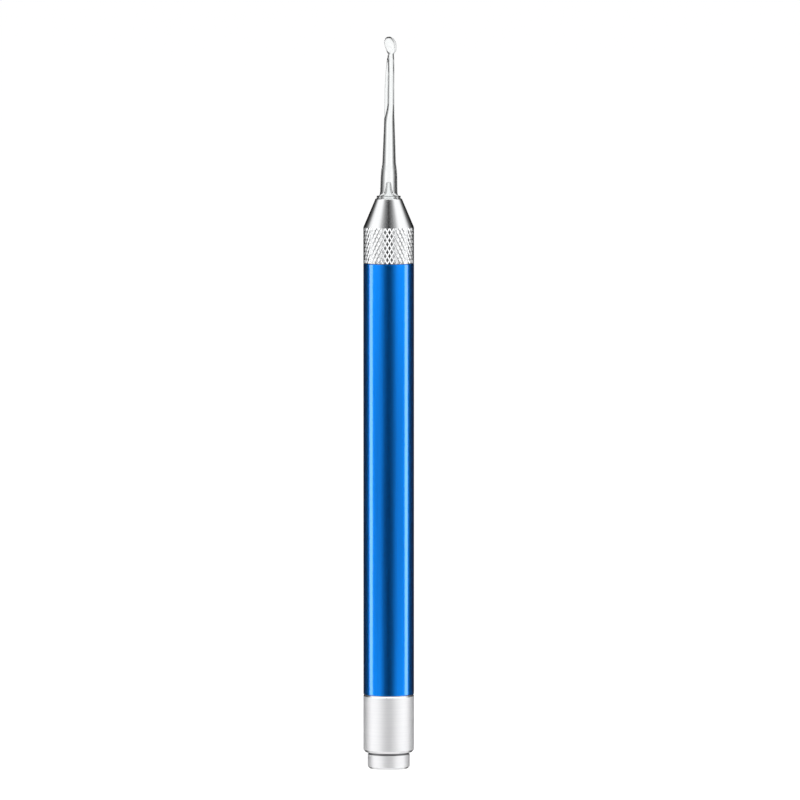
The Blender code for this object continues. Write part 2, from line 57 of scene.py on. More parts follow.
# colours are written as sRGB hex and turned to linear here
def hexColour(code):
    parts = [int(code[i:i + 2], 16) / 255 for i in (1, 3, 5)]
    return (*[c / 12.92 if c <= 0.04045 else ((c + 0.055) / 1.055) ** 2.4 for c in parts], 1.0)


# adds a node, sets it, and fills or links its sockets; a setting that is one word is the node's operation,
# and stops are those of a colour ramp
def addNode(tree, kind, settings=None, inputs=None):
    node = tree.nodes.new(kind)
    if isinstance(settings, str):
        settings = {"operation": settings}
    for name, value in (settings or {}).items():
        if name != "stops":
            setattr(node, name, value)
            continue
        ramp = node.color_ramp.elements
        while len(ramp) < len(value):
            ramp.new(1.0)
        for stop, (place, colour) in zip(ramp, value):
            stop.position = place
            stop.color = hexColour(colour) if isinstance(colour, str) else (colour, colour, colour, 1)
    for key, value in inputs.items() if isinstance(inputs, dict) else enumerate(inputs or []):
        if isinstance(value, bpy.types.Node):
            value = value.outputs[0]
        if isinstance(value, bpy.types.NodeSocket):
            tree.links.new(value, node.inputs[key])
        else:
            node.inputs[key].default_value = value
    return node


# the node tree of a new material or world, emptied
def emptyTree(owner):
    owner.use_nodes = True
    owner.node_tree.nodes.clear()
    return owner.node_tree


# a material with one Principled shader, its uniform values set on the shader's own sockets
def newFinish(name, colour, **sockets):
    made = bpy.data.materials.new(name)
    tree = emptyTree(made)
    shader = addNode(tree, "ShaderNodeBsdfPrincipled", inputs={"Base Color": hexColour(colour)})
    for key, value in sockets.items():
        shader.inputs[key.replace("_", " ")].default_value = value
    addNode(tree, "ShaderNodeOutputMaterial", inputs=[shader])
    place = addNode(tree, "ShaderNodeTexCoord").outputs["Object"]
    return made, tree, shader, place


# Lines left by a tool or a die: noise squeezed along one axis, in lines per millimetre. Real ones are taken to
# be 0.05 to 0.1 mm apart, which is too fine to show, so they are drawn at 0.17 to 0.2 mm.
def machineLines(tree, place, across, along):
    mapped = addNode(tree, "ShaderNodeMapping", inputs={"Vector": place, "Scale": (across, across, along)})
    return addNode(tree, "ShaderNodeTexNoise", inputs={
        "Vector": mapped, "Scale": 1 / mm, "Detail": 2.0, "Roughness": 0.55})


# spreads a pattern over the roughness and the height of a surface, and over its colour where two are given
def texture(tree, shader, pattern, roughness, depth, colours=None):
    low, high = roughness
    spread = addNode(tree, "ShaderNodeMapRange", inputs={"Value": pattern, "To Min": low, "To Max": high})
    bump = addNode(tree, "ShaderNodeBump", inputs={"Height": pattern, "Distance": depth * mm})
    made = {"Roughness": spread, "Normal": bump}
    if colours:
        stops = [(0.25, colours[0]), (0.75, colours[1])]
        made["Base Color"] = addNode(tree, "ShaderNodeValToRGB", {"stops": stops}, [pattern])
    for key, node in made.items():
        tree.links.new(node.outputs[0], shader.inputs[key])


# mixes another value into a textured socket; shares are stops of (height, share of the other value)
def mixByHeight(tree, shader, place, key, other, shares):
    top = shares[-1][0]
    height = addNode(tree, "ShaderNodeSeparateXYZ", inputs=[place]).outputs[2]
    height = addNode(tree, "ShaderNodeMath", "DIVIDE", [height, top * mm])
    share = addNode(tree, "ShaderNodeValToRGB", {"stops": [(z / top, value) for z, value in shares]}, [height])
    own = shader.inputs[key].links[0].from_socket
    if isinstance(other, str):  # a colour has sockets of its own on the Mix node
        mixed = addNode(tree, "ShaderNodeMix", {"data_type": "RGBA"}, {0: share, 6: own, 7: hexColour(other)})
        tree.links.new(mixed.outputs[2], shader.inputs[key])
    else:
        mixed = addNode(tree, "ShaderNodeMix", inputs={0: share, 2: own, 3: other})
        tree.links.new(mixed.outputs[0], shader.inputs[key])


# Aluminium tube, drawn, polished and anodised blue: a metal glow under a hard clear oxide skin,
# with faint lines that run along the tube from the drawing die
def anodisedAluminium():
    look, tree, shader, place = newFinish("anodised_blue_aluminium", "#0082ec", Metallic=1.0,
                                          Coat_Weight=1.0, Coat_Roughness=0.04, Coat_IOR=1.6)
    lines = machineLines(tree, place, 5.0, 0.05)
    texture(tree, shader, lines, (0.27, 0.34), 0.0006, ("#007fe6", "#0085f2"))
    return look


# Aluminium turned on a lathe and polished: a near mirror, broken by fine rings from the tool
def polishedAluminium():
    look, tree, shader, place = newFinish("polished_turned_aluminium", "#e6e7e8", Metallic=1.0)
    rings = machineLines(tree, place, 0.02, 6.0)
    texture(tree, shader, rings, (0.09, 0.15), 0.0012, ("#e2e3e4", "#eaebec"))
    # painted shade: the knurl band's base colour is made greyer so that it reads darker, and its surface is made
    # rougher
    knurlShadeAndRoughness = [(0, 0), (100.1, 0), (100.15, 1), (107.1, 1), (107.2, 0), (150, 0)]
    mixByHeight(tree, shader, place, "Base Color", "#cccdce", knurlShadeAndRoughness)
    mixByHeight(tree, shader, place, "Roughness", 0.22, knurlShadeAndRoughness)
    return look


# Aluminium turned and tumbled to a satin face: soft broad glints and rings that barely show
def satinAluminium():
    look, tree, shader, place = newFinish("satin_turned_aluminium", "#eaeaec", Metallic=0.9)
    rings = machineLines(tree, place, 0.05, 5.0)
    texture(tree, shader, rings, (0.56, 0.60), 0.0005, ("#e7e7e9", "#ededee"))
    # the chamfers are cut afterwards with a diamond, so they shine as thin white lines
    chamfers = [(0, 1), (0.4, 1), (0.45, 0), (3.2, 0), (3.25, 1), (3.72, 1), (3.77, 0), (14.29, 0),
                (14.33, 1), (15, 1)]
    mixByHeight(tree, shader, place, "Roughness", 0.24, chamfers)
    # painted shade: the button's groove under the cap gets a darker base colour, standing in for the shadow in
    # the gap
    groove = [(0, 0), (2.77, 0), (2.83, 1), (3.2, 1), (3.26, 0), (15, 0)]
    mixByHeight(tree, shader, place, "Base Color", "#88888b", groove)
    return look


# Any other wire, plate, moulding or casting: a noise with grains of the given width and depth,
# between a low and a high roughness
def grainedFinish(name, colour, roughness, width, depth, detail=3.0, **sockets):
    look, tree, shader, place = newFinish(name, colour, **sockets)
    grain = addNode(tree, "ShaderNodeTexNoise", inputs={
        "Vector": place, "Scale": 1 / mm / width, "Detail": detail})
    texture(tree, shader, grain, roughness, depth)
    return look


finishes = {
    "anodised_blue": anodisedAluminium(),
    "polished_aluminium": polishedAluminium(),
    "satin_aluminium": satinAluminium(),
    # acrylic, injection moulded: glass clear, with slow swells where the melt flowed
    "clear_acrylic": grainedFinish("clear_moulded_acrylic", "#fbfdfd", (0.0, 0.03), 10 / 9, 0.002, 1.0,
                                   Transmission_Weight=1.0, IOR=1.49),
    # epoxy, cast round the lamp's chip: clear with a faint cold cast
    "lamp_resin": grainedFinish("cast_clear_epoxy", "#f6f8ff", (0.01, 0.05), 5 / 6, 0.001, 1.0,
                                Transmission_Weight=1.0, IOR=1.53),
    # steel lead dipped in tin: dull bright, a little lumpy
    "tinned_lead": grainedFinish("tinned_steel_lead", "#c9c9c6", (0.25, 0.4), 0.2, 0.004, Metallic=1.0),
    # nylon, moulded in a spark-eroded mould: an even fine matt grain
    "white_nylon": grainedFinish("moulded_white_nylon", "#e9e8e1", (0.4, 0.55), 0.15, 0.004),
    "black_nylon": grainedFinish("moulded_black_nylon", "#26272a", (0.4, 0.55), 0.15, 0.004),
    # polyester film, rolled to a sleeve: smooth and slightly glossy
    "liner_film": grainedFinish("rolled_polyester_film", "#d9dcd8", (0.25, 0.35), 0.8, 0.002),
    # brass, turned from bar: warm and bright with a light grain
    "brass": grainedFinish("turned_brass", "#d8b46a", (0.18, 0.3), 0.1, 0.001, Metallic=1.0),
    # nitrile rubber, pressed: dead black with a faint bloom
    "rubber": grainedFinish("pressed_nitrile_rubber", "#1c1c1d", (0.55, 0.75), 0.2, 0.003),
    # steel can, nickel plated and drawn: bright, slightly warm
    "nickel": grainedFinish("nickel_plated_steel", "#d5d2cb", (0.15, 0.28), 0.25, 0.001, Metallic=1.0),
    # spring steel, drawn through a die: grey with a hard sheen
    "spring_steel": grainedFinish("drawn_spring_steel", "#b9babd", (0.2, 0.32), 0.1, 0.001, Metallic=1.0),
}
print("finishes made:", len(finishes))

tiny = 1e-6  # a smaller radius is a pole, and a smaller step in radius is none
touching = 0.002 * mm  # points this close are one
crisp, fine, usual, soft = 0.03, 0.04, 0.05, 0.1  # radii that the tools leave on corners


# rounds the corners of an outline; a point is (radius, height) or (radius, height, corner radius)
def softened(points, steps=4):
    flatRun = 0.015  # a short straight run beside each corner keeps the shading of the face flat
    out = []
    for i, point in enumerate(points):
        here = Vector(point[:2])
        if len(point) == 2:
            out.append(here)
            continue
        corner = point[2]
        before = (Vector(points[i - 1][:2]) - here).normalized()
        after = (Vector(points[(i + 1) % len(points)][:2]) - here).normalized()
        half = before.angle(after) / 2
        reach = corner / tan(half)
        centre = here + (before + after).normalized() * (corner / sin(half))
        start, end = here + before * reach - centre, here + after * reach - centre
        turn = start.angle_signed(end)
        out.append(here + before * (reach + flatRun))
        out += [centre + Matrix.Rotation(-turn * k / steps, 2) @ start for k in range(steps + 1)]
        out.append(here + after * (reach + flatRun))
    return [(p.x, p.y) for p in out]


def meshObject(name, verts, faces):
    mesh = bpy.data.meshes.new(name)
    mesh.from_pydata([tuple(c * mm for c in v) for v in verts], [], faces)
    shape = bmesh.new()
    shape.from_mesh(mesh)
    bmesh.ops.remove_doubles(shape, verts=shape.verts, dist=1e-7)
    bmesh.ops.recalc_face_normals(shape, faces=shape.faces)
    shape.to_mesh(mesh)
    shape.free()
    made = bpy.data.objects.new(name, mesh)
    scene.collection.objects.link(made)
    return made


def shadeSmooth(made):
    made.data.shade_smooth()
    made.data.set_sharp_from_angle(angle=radians(32))  # edges that turn more stay sharp
    return made


# joins rings of points into one skin; a ring of one point is a pole
def skin(name, rings, closed):
    verts, starts = [], []
    for ring in rings:
        starts.append(len(verts))
        verts += ring
    faces = []
    for a in range(len(rings) if closed else len(rings) - 1):
        b = (a + 1) % len(rings)
        count = max(len(rings[a]), len(rings[b]))
        for k in range(count):
            n = (k + 1) % count
            if len(rings[a]) == 1:
                faces.append((starts[a], starts[b] + k, starts[b] + n))
            elif len(rings[b]) == 1:
                faces.append((starts[a] + k, starts[b], starts[a] + n))
            else:
                faces.append((starts[a] + k, starts[b] + k, starts[b] + n, starts[a] + n))
    return shadeSmooth(meshObject(name, verts, faces))


def ringAt(radius, height, steps):
    if radius < tiny:
        return [(0, 0, height)]
    turns = [2 * pi * k / steps for k in range(steps)]
    return [(radius * cos(turn), radius * sin(turn), height) for turn in turns]


# a piece turned on the lathe, from an outline down its outer side
def turnedPiece(name, outline, steps=144):
    return skin(name, [ringAt(r, z, steps) for r, z in outline], outline[0][0] > tiny)


# puts a geometry node tree on a piece, sets its named inputs before it is first evaluated,
# and turns what comes out into plain mesh
def dress(made, tree, values):
    change = made.modifiers.new(tree.name, "NODES")
    change.node_group = tree
    names = {item.name: item.identifier for item in tree.interface.items_tree if item.in_out == "INPUT"}
    for name, value in values.items():
        change[names[name]] = value
    graph = bpy.context.evaluated_depsgraph_get()
    mesh = bpy.data.meshes.new_from_object(made.evaluated_get(graph))
    made.modifiers.clear()
    made.data = mesh


# the sockets that a tree is given: its geometry, its named sizes and its material
def newTree(name, sizes, others=()):
    tree = bpy.data.node_groups.new(name, "GeometryNodeTree")
    floats = [(size, "Float") for size in sizes]
    for key, kind in [("Geometry", "Geometry"), *others, *floats, ("Material", "Material")]:
        tree.interface.new_socket(key, in_out="INPUT", socket_type="NodeSocket" + kind)
    tree.interface.new_socket("Geometry", in_out="OUTPUT", socket_type="NodeSocketGeometry")
    return tree, addNode(tree, "NodeGroupInput").outputs


# the last nodes of every tree
def endTree(tree, geometry, material):
    real = addNode(tree, "GeometryNodeRealizeInstances", inputs=[geometry])
    painted = addNode(tree, "GeometryNodeSetMaterial", inputs={"Geometry": real, "Material": material})
    addNode(tree, "NodeGroupOutput", inputs=[painted])


# moves the points of a turned piece outwards along a right-handed screw line
def threadTree():
    tree, given = newTree("screwThread", ["Radius", "Depth", "Pitch", "Low", "High", "Fade"])
    place = addNode(tree, "GeometryNodeInputPosition")
    x, y, z = addNode(tree, "ShaderNodeSeparateXYZ", inputs=[place]).outputs
    flat = addNode(tree, "ShaderNodeCombineXYZ", inputs=[x, y])
    angle = addNode(tree, "ShaderNodeMath", "ARCTAN2", [y, x])
    angle = addNode(tree, "ShaderNodeMath", "DIVIDE", [angle, 2 * pi])
    turns = addNode(tree, "ShaderNodeMath", "DIVIDE", [z, given["Pitch"]])
    turns = addNode(tree, "ShaderNodeMath", "SUBTRACT", [turns, angle])
    # 0 in the middle of the valley, 0.5 in the middle of the crest; the flank leaves both a narrow flat
    flankFoot, flankTop = 0.06, 0.44
    ridge = addNode(tree, "ShaderNodeMath", "PINGPONG", [turns, 0.5])
    push = addNode(tree, "ShaderNodeMapRange", inputs={
        "Value": ridge, "From Min": flankFoot, "From Max": flankTop})
    # the ridge fades in and out at its two ends
    above = addNode(tree, "ShaderNodeMath", "SUBTRACT", [z, given["Low"]])
    below = addNode(tree, "ShaderNodeMath", "SUBTRACT", [given["High"], z])
    inside = addNode(tree, "ShaderNodeMath", "MINIMUM", [above, below])
    inside = addNode(tree, "ShaderNodeMapRange", inputs={"Value": inside, "From Max": given["Fade"]})
    # only the wall of the given radius moves
    reach = addNode(tree, "ShaderNodeVectorMath", "LENGTH", [flat]).outputs["Value"]
    onWall = addNode(tree, "ShaderNodeMath", "COMPARE", [reach, given["Radius"], touching])
    for factor in (inside, onWall, given["Depth"]):
        push = addNode(tree, "ShaderNodeMath", "MULTIPLY", [push, factor])
    outwards = addNode(tree, "ShaderNodeVectorMath", "NORMALIZE", [flat])
    offset = addNode(tree, "ShaderNodeVectorMath", "SCALE", {0: outwards, "Scale": push})
    moved = addNode(tree, "GeometryNodeSetPosition", inputs={"Geometry": given["Geometry"], "Offset": offset})
    endTree(tree, moved, given["Material"])
    return tree


# lays teeth in staggered rows on a flat sheet and wraps the sheet round the pen
def knurlTree():
    tree, given = newTree("diamondKnurl", ["Radius", "Foot", "Row Height", "Turn"], [
        ("Tooth", "Object"), ("End Tooth", "Object"), ("Count", "Int"), ("Rows", "Int")])
    width = addNode(tree, "ShaderNodeMath", "MULTIPLY", [given["Radius"], 2 * pi])
    width = addNode(tree, "ShaderNodeMath", "DIVIDE", [width, given["Count"]])
    number = addNode(tree, "GeometryNodeInputIndex")
    column = addNode(tree, "ShaderNodeMath", "MODULO", [number, given["Count"]])
    row = addNode(tree, "ShaderNodeMath", "DIVIDE", [number, given["Count"]])
    row = addNode(tree, "ShaderNodeMath", "FLOOR", [row])
    inner = addNode(tree, "ShaderNodeMath", "SUBTRACT", [given["Rows"], 1.0])
    inner = addNode(tree, "ShaderNodeMath", "MULTIPLY", [inner, given["Count"]])
    joined = addNode(tree, "GeometryNodeJoinGeometry")
    # the whole teeth, the half ones at the foot, and the half ones at the top, turned over
    groups = ((given["Tooth"], inner, 1.0, 0), (given["End Tooth"], given["Count"], 0.0, 0),
              (given["End Tooth"], given["Count"], given["Rows"], pi))
    for tooth, total, firstRow, turn in groups:
        points = addNode(tree, "GeometryNodeMeshLine", {"mode": "OFFSET"}, {"Count": total})
        level = addNode(tree, "ShaderNodeMath", "ADD", [row, firstRow])
        across = level  # every second row starts half a tooth further round
        for operation, others in (("MODULO", [2.0]), ("MULTIPLY_ADD", [0.5, column]), ("MULTIPLY", [width])):
            across = addNode(tree, "ShaderNodeMath", operation, [across, *others])
        up = addNode(tree, "ShaderNodeMath", "MULTIPLY", [level, given["Row Height"]])
        spot = addNode(tree, "ShaderNodeCombineXYZ", inputs=[across, up])
        placed = addNode(tree, "GeometryNodeSetPosition", inputs={"Geometry": points, "Position": spot})
        model = addNode(tree, "GeometryNodeObjectInfo", inputs={"Object": tooth}).outputs["Geometry"]
        teeth = addNode(tree, "GeometryNodeInstanceOnPoints", inputs={
            "Points": placed, "Instance": model, "Rotation": (0, 0, turn)})
        tree.links.new(teeth.outputs[0], joined.inputs[0])
    real = addNode(tree, "GeometryNodeRealizeInstances", inputs=[joined])
    place = addNode(tree, "GeometryNodeInputPosition")
    x, y, z = addNode(tree, "ShaderNodeSeparateXYZ", inputs=[place]).outputs
    angle = addNode(tree, "ShaderNodeMath", "DIVIDE", [x, given["Radius"]])
    angle = addNode(tree, "ShaderNodeMath", "ADD", [angle, given["Turn"]])
    radius = addNode(tree, "ShaderNodeMath", "ADD", [z, given["Radius"]])
    height = addNode(tree, "ShaderNodeMath", "ADD", [y, given["Foot"]])
    bent = addNode(tree, "ShaderNodeCombineXYZ", inputs=[radius, 0.0, height])
    bent = addNode(tree, "ShaderNodeVectorRotate", {"rotation_type": "Z_AXIS"}, {
        "Vector": bent, "Angle": angle})
    wrapped = addNode(tree, "GeometryNodeSetPosition", inputs={"Geometry": real, "Position": bent})
    merged = addNode(tree, "GeometryNodeMergeByDistance", inputs={"Geometry": wrapped, "Distance": touching})
    endTree(tree, merged, given["Material"])
    return tree


# winds a round wire into a spring: closed coils at both ends, open ones between
def coilTree():
    tree, given = newTree("coilSpring", ["Radius", "Wire", "Foot", "Length", "Turns", "Closed Turns"])
    steps, sides = 28.0, 12  # points in a turn and round the wire
    closedRise = 1.03  # of a closed coil, in thicknesses of the wire
    count = addNode(tree, "ShaderNodeMath", "MULTIPLY_ADD", [given["Turns"], steps, 1.0])
    line = addNode(tree, "GeometryNodeMeshLine", {"mode": "OFFSET"}, {"Count": count})
    number = addNode(tree, "GeometryNodeInputIndex")
    turn = addNode(tree, "ShaderNodeMath", "DIVIDE", [number, steps])
    # turns of closed coil passed so far, at the foot and at the top
    fromFoot = addNode(tree, "ShaderNodeMath", "MINIMUM", [turn, given["Closed Turns"]])
    topStart = addNode(tree, "ShaderNodeMath", "SUBTRACT", [given["Turns"], given["Closed Turns"]])
    fromTop = addNode(tree, "ShaderNodeMath", "SUBTRACT", [turn, topStart])
    fromTop = addNode(tree, "ShaderNodeMath", "MAXIMUM", [fromTop, 0.0])
    ends = addNode(tree, "ShaderNodeMath", "ADD", [fromFoot, fromTop])
    # the open coils share out the length that the closed ones leave
    pitch = addNode(tree, "ShaderNodeMath", "MULTIPLY", [given["Wire"], closedRise])
    twoEnds = addNode(tree, "ShaderNodeMath", "MULTIPLY", [given["Closed Turns"], 2.0])
    closedLength = addNode(tree, "ShaderNodeMath", "MULTIPLY", [pitch, twoEnds])
    openLength = given["Length"]
    for taken in (given["Wire"], closedLength):
        openLength = addNode(tree, "ShaderNodeMath", "SUBTRACT", [openLength, taken])
    openTurns = addNode(tree, "ShaderNodeMath", "SUBTRACT", [given["Turns"], twoEnds])
    openPitch = addNode(tree, "ShaderNodeMath", "DIVIDE", [openLength, openTurns])
    opened = addNode(tree, "ShaderNodeMath", "SUBTRACT", [turn, ends])
    # the wire's middle line starts half a wire above the foot, and climbs by both kinds of coil
    height = given["Foot"]
    for passed, rise in ((0.5, given["Wire"]), (ends, pitch), (opened, openPitch)):
        height = addNode(tree, "ShaderNodeMath", "MULTIPLY_ADD", [passed, rise, height])
    angle = addNode(tree, "ShaderNodeMath", "MULTIPLY", [turn, 2 * pi])
    spot = addNode(tree, "ShaderNodeCombineXYZ", inputs=[given["Radius"], 0.0, height])
    spot = addNode(tree, "ShaderNodeVectorRotate", {"rotation_type": "Z_AXIS"}, {
        "Vector": spot, "Angle": angle})
    placed = addNode(tree, "GeometryNodeSetPosition", inputs={"Geometry": line, "Position": spot})
    path = addNode(tree, "GeometryNodeMeshToCurve", inputs=[placed])
    half = addNode(tree, "ShaderNodeMath", "MULTIPLY", [given["Wire"], 0.5])
    section = addNode(tree, "GeometryNodeCurvePrimitiveCircle", inputs={"Resolution": sides, "Radius": half})
    wire = addNode(tree, "GeometryNodeCurveToMesh", inputs={
        "Curve": path, "Profile Curve": section, "Fill Caps": True})
    smooth = addNode(tree, "GeometryNodeSetShadeSmooth", inputs={"Geometry": wire})
    endTree(tree, smooth, given["Material"])
    return tree


cutThread = threadTree()
knurlBand = knurlTree()
windSpring = coilTree()
print("node trees built")


# gives a finished piece its finish, its slot and its body, and hides the CAD node that it stands for
def fitPiece(made, slotName, body, cadNode):
    made.data.materials.clear()
    made.data.materials.append(finishes[slotName])
    made.data.polygons.foreach_set("material_index", [0] * len(made.data.polygons))
    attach(made, body)
    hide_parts(cadNode)
    return made


# The screw threads at both ends of the barrel. rowStep is the height of the rows that they are cut in, and fade
# the length in which a ridge reaches its depth. The last four say how far a thread runs out of a bore, and how
# far it stops short of the bore's plain part, of a step and of an end.
thread = {"pitch": 0.75, "rowStep": 0.06, "fade": 0.35,
          "runOut": 1.0, "boreStop": 0.2, "stepStop": 0.02, "endStop": 0.1}


# fills the long upright runs of an outline between two heights with rows, for a thread to be cut in
def withRows(outline, low, high):
    shortRun = 1.0  # shorter ones are left alone
    out = []
    for i, (radius, height) in enumerate(outline):
        out.append((radius, height))
        nextRadius, nextHeight = outline[(i + 1) % len(outline)]
        span = nextHeight - height
        upright = abs(nextRadius - radius) < tiny
        if upright and abs(span) > shortRun and low <= (height + nextHeight) / 2 <= high:
            count = ceil(abs(span) / thread["rowStep"])
            out += [(radius, height + span * k / count) for k in range(1, count)]
    return out


def threadOn(made, radius, depth, low, high, slotName):
    dress(made, cutThread, {
        "Radius": radius * mm, "Depth": depth * mm, "Pitch": thread["pitch"] * mm, "Low": low * mm,
        "High": high * mm, "Fade": thread["fade"] * mm, "Material": finishes[slotName]})


barrel = {"foot": 14.75, "top": 100.05, "radius": 5.0, "bore": 4.35, "mouth": 4.62, "mouthDepth": 1.15,
          "edge": 0.07, "groove": 0.23, "threadLength": 4.6}


def makeBarrel(b):
    low, high = b["foot"] + b["mouthDepth"], b["top"] - b["mouthDepth"]
    lowEnd, highEnd = low + b["threadLength"], high - b["threadLength"]
    outline = softened([
        (b["radius"], b["top"], b["edge"]), (b["radius"], b["foot"], b["edge"]),
        (b["mouth"], b["foot"], usual), (b["mouth"], low), (b["bore"], low, fine), (b["bore"], lowEnd),
        (b["bore"], highEnd), (b["bore"], high, fine), (b["mouth"], high), (b["mouth"], b["top"], usual)])
    outline = withRows(withRows(outline, b["foot"], lowEnd), highEnd, b["top"])
    tube = turnedPiece("barrelTube", outline)
    for start, end in ((low - thread["runOut"], lowEnd - thread["boreStop"]),
                       (highEnd + thread["boreStop"], high + thread["runOut"])):
        threadOn(tube, b["bore"], b["groove"], start, end, "anodised_blue")
    shadeSmooth(tube)
    fitPiece(tube, "anodised_blue", "barrel", "barrel_tube")


nose = {"shoulder": 100.15, "knurlTop": 107.15, "top": 112.8, "topRadius": 2.6, "topEdge": 0.16, "neck": 4.25,
        "neckFoot": 95.45, "neckEdge": 0.2, "threadRise": 0.25, "groove": 3.9, "grooveWidth": 0.8, "bore": 3.3,
        "socket": 2.05, "socketEdge": 0.08, "lampFoot": 106.25}
# crest is the size of a tooth's flat top against its foot, and lean its tilt in degrees; the band's rims
# are drawn into the metal by rimDepth, to rimShrink of their radius
knurl = {"count": 36, "rows": 9, "depth": 0.07, "crest": 0.66, "turn": 1.93, "lean": 1.5, "backing": 0.03,
         "rimShrink": 0.96, "rimDepth": 0.1}


# one diamond of the knurl, laid flat, with its long way along the pen: a pressed pyramid with a flat top,
# which leans up a little where the wheel left it
def makeTooth(name, width, height, k, half):
    w, h = width / 2, height / 2
    corners = [(-w, 0), (w, 0), (0, h)] if half else [(w, 0), (0, h), (-w, 0), (0, -h)]
    verts, faces = [], []
    lean = 0 if half else tan(radians(k["lean"]))
    for share, level, slope in ((1.0, -k["depth"], 0), (k["crest"], 0, lean)):
        verts += [(x * share, y * share, level - slope * (y + h) * share) for x, y in corners]
    if half:
        faces += [(0, 3, 5, 2), (1, 2, 5, 4), (3, 4, 5)]
    else:
        faces += [(s, (s + 1) % 4, 4 + (s + 1) % 4, 4 + s) for s in range(4)]
        faces.append((4, 5, 6, 7))
    return meshObject(name, verts, faces)


# grows the band's two open rims into the nose's metal and joins them there, so that it is a closed ring
def closeBand(band, middle, k):
    shape = bmesh.new()
    shape.from_mesh(band.data)
    rims = [edge for edge in shape.edges if edge.is_boundary]
    grown = bmesh.ops.extrude_edge_only(shape, edges=rims)["geom"]
    for vert in [item for item in grown if isinstance(item, bmesh.types.BMVert)]:
        vert.co.xy *= k["rimShrink"]
        vert.co.z += (-k["rimDepth"] if vert.co.z > middle * mm else k["rimDepth"]) * mm
    bmesh.ops.bridge_loops(shape, edges=[item for item in grown if isinstance(item, bmesh.types.BMEdge)])
    bmesh.ops.recalc_face_normals(shape, faces=shape.faces)
    shape.to_mesh(band.data)
    shape.free()


# an object with a token triangle, for a node tree that makes its own geometry
def blankObject(name):
    return meshObject(name, [(0, 0, 0), (1, 0, 0), (0, 1, 0)], [(0, 1, 2)])


def makeKnurl(n, k):
    width = 2 * pi * barrel["radius"] / k["count"]
    rowHeight = (n["knurlTop"] - n["shoulder"]) / k["rows"]
    tooth = makeTooth("knurlTooth", width, 2 * rowHeight, k, False)
    endTooth = makeTooth("knurlEndTooth", width, 2 * rowHeight, k, True)
    band = blankObject("knurlBand")
    dress(band, knurlBand, {
        "Tooth": tooth, "End Tooth": endTooth, "Count": k["count"], "Rows": k["rows"],
        "Radius": barrel["radius"] * mm, "Foot": n["shoulder"] * mm, "Row Height": rowHeight * mm,
        "Turn": radians(k["turn"] - 90), "Material": finishes["polished_aluminium"]})
    for spare in (tooth, endTooth):
        bpy.data.objects.remove(spare)
    closeBand(band, (n["shoulder"] + n["knurlTop"]) / 2, k)
    band.data.shade_flat()
    return band


def makeNose(n):
    core = barrel["radius"] - knurl["depth"] - knurl["backing"]
    neckTop = n["shoulder"] - n["grooveWidth"]
    outline = softened([
        (n["socket"], n["top"], n["socketEdge"]), (n["topRadius"], n["top"], n["topEdge"]),
        (barrel["radius"], n["knurlTop"], crisp), (core, n["knurlTop"]), (core, n["shoulder"]),
        (n["groove"], n["shoulder"], usual), (n["groove"], neckTop, usual), (n["neck"], neckTop),
        (n["neck"], n["neckFoot"], n["neckEdge"]), (n["bore"], n["neckFoot"], usual),
        (n["bore"], n["lampFoot"]), (n["socket"], n["lampFoot"])])
    cone = turnedPiece("noseCone", withRows(outline, n["neckFoot"], neckTop))
    threadOn(cone, n["neck"], n["threadRise"], n["neckFoot"] + thread["endStop"],
             neckTop - thread["stepStop"], "polished_aluminium")
    shadeSmooth(cone)
    band = makeKnurl(n, knurl)
    with bpy.context.temp_override(active_object=cone, selected_editable_objects=[cone, band]):
        bpy.ops.object.join()
    fitPiece(cone, "polished_aluminium", "nose", "nose_cone")


# rubber ring in the groove behind each thread
sealRing = {"radius": 4.26, "thick": 0.66, "sectionSteps": 20, "steps": 120}


def makeSealRing(name, height, body, cadNode):
    thick, count = sealRing["thick"] / 2, sealRing["sectionSteps"]
    outline = [(sealRing["radius"] + thick * cos(a), height + thick * sin(a))
               for a in [-2 * pi * k / count for k in range(count)]]
    fitPiece(turnedPiece(name, outline, sealRing["steps"]), "rubber", body, cadNode)


tail = {"end": 3.25, "shoulder": 14.65, "webFoot": 8.0, "webTop": 8.6, "chamber": 4.25, "stemHole": 1.65,
        "endChamfer": 0.4, "endChamferHeight": 0.5, "topChamfer": 0.12, "topChamferHeight": 0.32,
        "neckTop": 19.35}


def makeTailCap(t):
    r = barrel["radius"]
    neckFoot = t["shoulder"] + nose["grooveWidth"]
    outline = softened([
        (nose["neck"], t["neckTop"], nose["neckEdge"]), (nose["neck"], neckFoot),
        (nose["groove"], neckFoot, usual), (nose["groove"], t["shoulder"], usual),
        (r - t["topChamfer"], t["shoulder"], crisp), (r, t["shoulder"] - t["topChamferHeight"], usual),
        (r, t["end"] + t["endChamferHeight"], fine), (r - t["endChamfer"], t["end"], crisp),
        (t["chamber"], t["end"], usual), (t["chamber"], t["webFoot"]), (t["stemHole"], t["webFoot"], usual),
        (t["stemHole"], t["webTop"], usual), (nose["bore"], t["webTop"]), (nose["bore"], t["neckTop"], usual)])
    cap = turnedPiece("tailCap", withRows(outline, neckFoot, t["neckTop"]))
    threadOn(cap, nose["neck"], nose["threadRise"], neckFoot + thread["stepStop"],
             t["neckTop"] - thread["endStop"], "satin_aluminium")
    shadeSmooth(cap)
    fitPiece(cap, "satin_aluminium", "tail", "tail_cap")


button = {"radius": 4.15, "height": 6.5, "topEdge": 0.12, "chamfer": 0.4, "wall": 0.75, "floor": 1.2,
          "floorEdge": 0.15, "bossBore": 1.55, "bossRadius": 2.2, "bossTop": 5.5, "seat": 1.5, "groove": 3.02,
          "grooveWidth": 0.4, "grooveDepth": 0.3}


